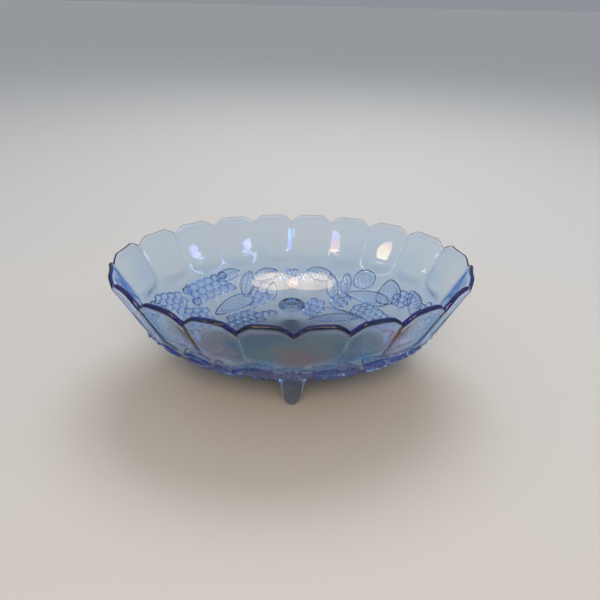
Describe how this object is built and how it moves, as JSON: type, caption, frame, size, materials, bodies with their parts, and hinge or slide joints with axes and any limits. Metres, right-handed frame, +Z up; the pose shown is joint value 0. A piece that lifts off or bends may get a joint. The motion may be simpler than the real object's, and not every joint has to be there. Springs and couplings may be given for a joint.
{
  "type": "footed fruit bowl",
  "caption": "Oval pressed-glass fruit bowl with a scalloped lip, a fluted wall, fruit in low relief under the belly and small tongue-shaped feet.",
  "frame": {"origin": "on the table, midway between the four feet", "axes": "+X along the oval, -Y towards the front, +Z up"},
  "size_m": [0.3076, 0.199, 0.1098],
  "materials": {
    "pressed_glass": "clear pale blue glass with a faint iridescent film outside",
    "foot_glass": "clear pale blue glass, solid",
    "relief_glass": "clear pale blue glass, moulded in relief"
  },
  "bodies": {
    "root": {"bowl_shell": "pressed_glass", "foot_front": "foot_glass", "foot_right": "foot_glass", "foot_back": "foot_glass", "foot_left": "foot_glass", "back_large_grapes": "relief_glass", "back_low_grapes": "relief_glass", "back_end_grapes": "relief_glass", "back_long_pear": "relief_glass", "back_curled_leaf": "relief_glass", "back_small_grapes": "relief_glass", "back_short_pear": "relief_glass", "back_apple": "relief_glass", "back_upright_leaf": "relief_glass", "back_low_leaf": "relief_glass", "back_end_leaf": "relief_glass", "back_middle_grapes": "relief_glass", "back_broad_pear": "relief_glass", "back_fan_leaf": "relief_glass", "back_crown_leaf": "relief_glass", "back_left_stem": "relief_glass", "back_low_stem": "relief_glass", "front_large_grapes": "relief_glass", "front_low_grapes": "relief_glass", "front_end_grapes": "relief_glass", "front_long_pear": "relief_glass", "front_curled_leaf": "relief_glass", "front_small_grapes": "relief_glass", "front_short_pear": "relief_glass", "front_apple": "relief_glass", "front_upright_leaf": "relief_glass", "front_low_leaf": "relief_glass", "front_end_leaf": "relief_glass", "front_middle_grapes": "relief_glass", "front_broad_pear": "relief_glass", "front_fan_leaf": "relief_glass", "front_crown_leaf": "relief_glass", "front_left_stem": "relief_glass", "front_low_stem": "relief_glass", "back_crown_grapes": "relief_glass", "back_hanging_grapes": "relief_glass", "back_side_grapes": "relief_glass", "back_corner_grapes": "relief_glass", "back_upper_grapes": "relief_glass", "front_crown_grapes": "relief_glass", "front_hanging_grapes": "relief_glass", "front_side_grapes": "relief_glass", "front_corner_grapes": "relief_glass", "front_upper_grapes": "relief_glass", "back_climbing_grapes": "relief_glass", "back_upper_leaf": "relief_glass", "back_inner_leaf": "relief_glass", "back_root_leaf": "relief_glass", "front_climbing_grapes": "relief_glass", "front_upper_leaf": "relief_glass", "front_inner_leaf": "relief_glass", "front_root_leaf": "relief_glass"}
  },
  "joints": []
}
